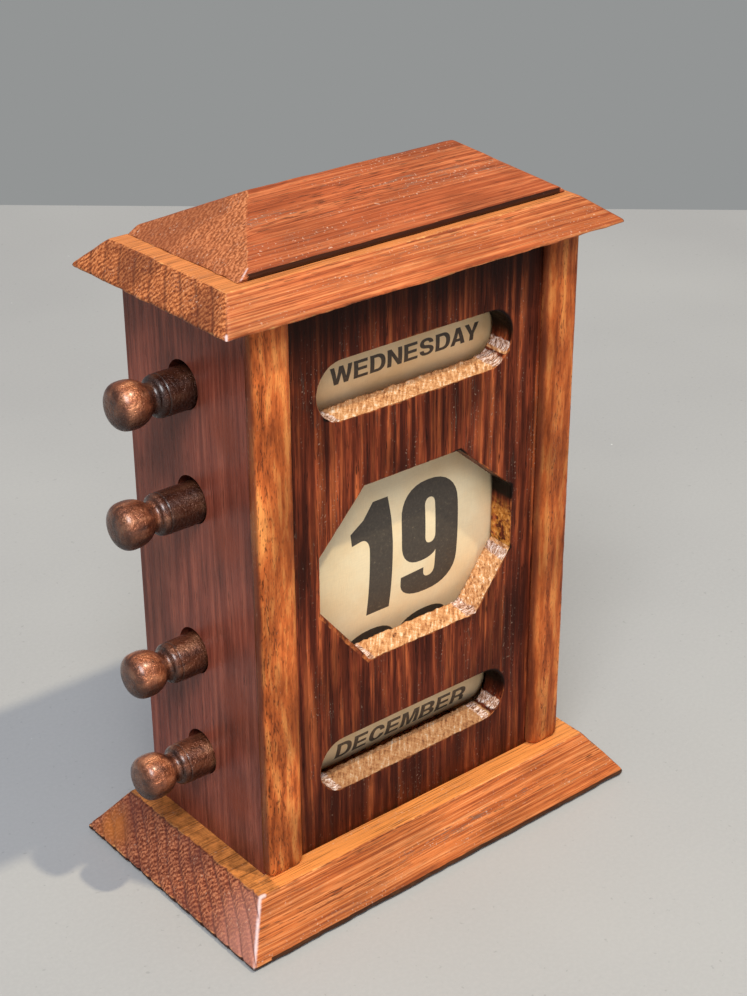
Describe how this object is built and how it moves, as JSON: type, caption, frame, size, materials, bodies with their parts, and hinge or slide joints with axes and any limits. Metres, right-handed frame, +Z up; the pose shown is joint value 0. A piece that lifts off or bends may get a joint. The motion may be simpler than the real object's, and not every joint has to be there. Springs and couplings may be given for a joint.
{
  "type": "perpetual desk calendar",
  "caption": "Wooden desk calendar with a hipped roof: knobs on its left side turn a day drum, a month drum and a wound date band behind three windows.",
  "frame": {"origin": "middle of the underside of the base, on the table", "axes": "+X along the width, to the right as seen from the front; +Y from the front to the back; +Z up"},
  "size_m": [0.1427, 0.079, 0.19],
  "materials": {
    "oak": "satin",
    "oak_strip": "satin",
    "oak_striped": "satin",
    "oak_dark": "satin",
    "knob_wood": "gloss",
    "raw_wood": "matte",
    "linen": "matte",
    "paper": "matte",
    "baize": "matte",
    "brass": "dull",
    "steel": "dull"
  },
  "bodies": {
    "case": {"base_plinth": "oak", "base_baize": "baize", "base_screws": "steel", "left_side": "oak_dark", "right_side": "oak_dark", "front_panel": "oak_striped", "left_strip": "oak_strip", "right_strip": "oak_strip", "back_panel": "oak_dark", "back_screws": "brass", "glue_blocks": "raw_wood", "cornice": "oak", "roof_block": "oak", "date_platen": "raw_wood", "date_band": "linen"},
    "day_roller": {"day_rod": "knob_wood", "day_collar": "raw_wood", "day_pivot": "steel", "day_drum": "raw_wood", "day_paper": "paper"},
    "upper_date_roller": {"upper_date_rod": "knob_wood", "upper_date_collar": "raw_wood", "upper_date_pivot": "steel", "upper_band_roll": "linen"},
    "lower_date_roller": {"lower_date_rod": "knob_wood", "lower_date_collar": "raw_wood", "lower_date_pivot": "steel", "lower_band_roll": "linen"},
    "month_roller": {"month_rod": "knob_wood", "month_collar": "raw_wood", "month_pivot": "steel", "month_drum": "raw_wood", "month_paper": "paper"}
  },
  "joints": [
    {"name": "day_turn", "type": "hinge", "parent": "case", "child": "day_roller", "pos_m": [0, 0.0022, 0.1446], "axis": [1, 0, 0], "continuous": true},
    {"name": "upper_date_turn", "type": "hinge", "parent": "case", "child": "upper_date_roller", "pos_m": [0, 0.0009, 0.11419], "axis": [1, 0, 0], "range_deg": [-2440, 3450]},
    {"name": "lower_date_turn", "type": "hinge", "parent": "case", "child": "lower_date_roller", "pos_m": [0, 0.0037, 0.0694], "axis": [1, 0, 0], "range_deg": [-2745, 3880]},
    {"name": "month_turn", "type": "hinge", "parent": "case", "child": "month_roller", "pos_m": [0, 0.0025, 0.03861], "axis": [1, 0, 0], "continuous": true}
  ],
  "couplings": [
    {"joint": "lower_date_turn", "follows": "upper_date_turn", "ratio": 1.124}
  ]
}
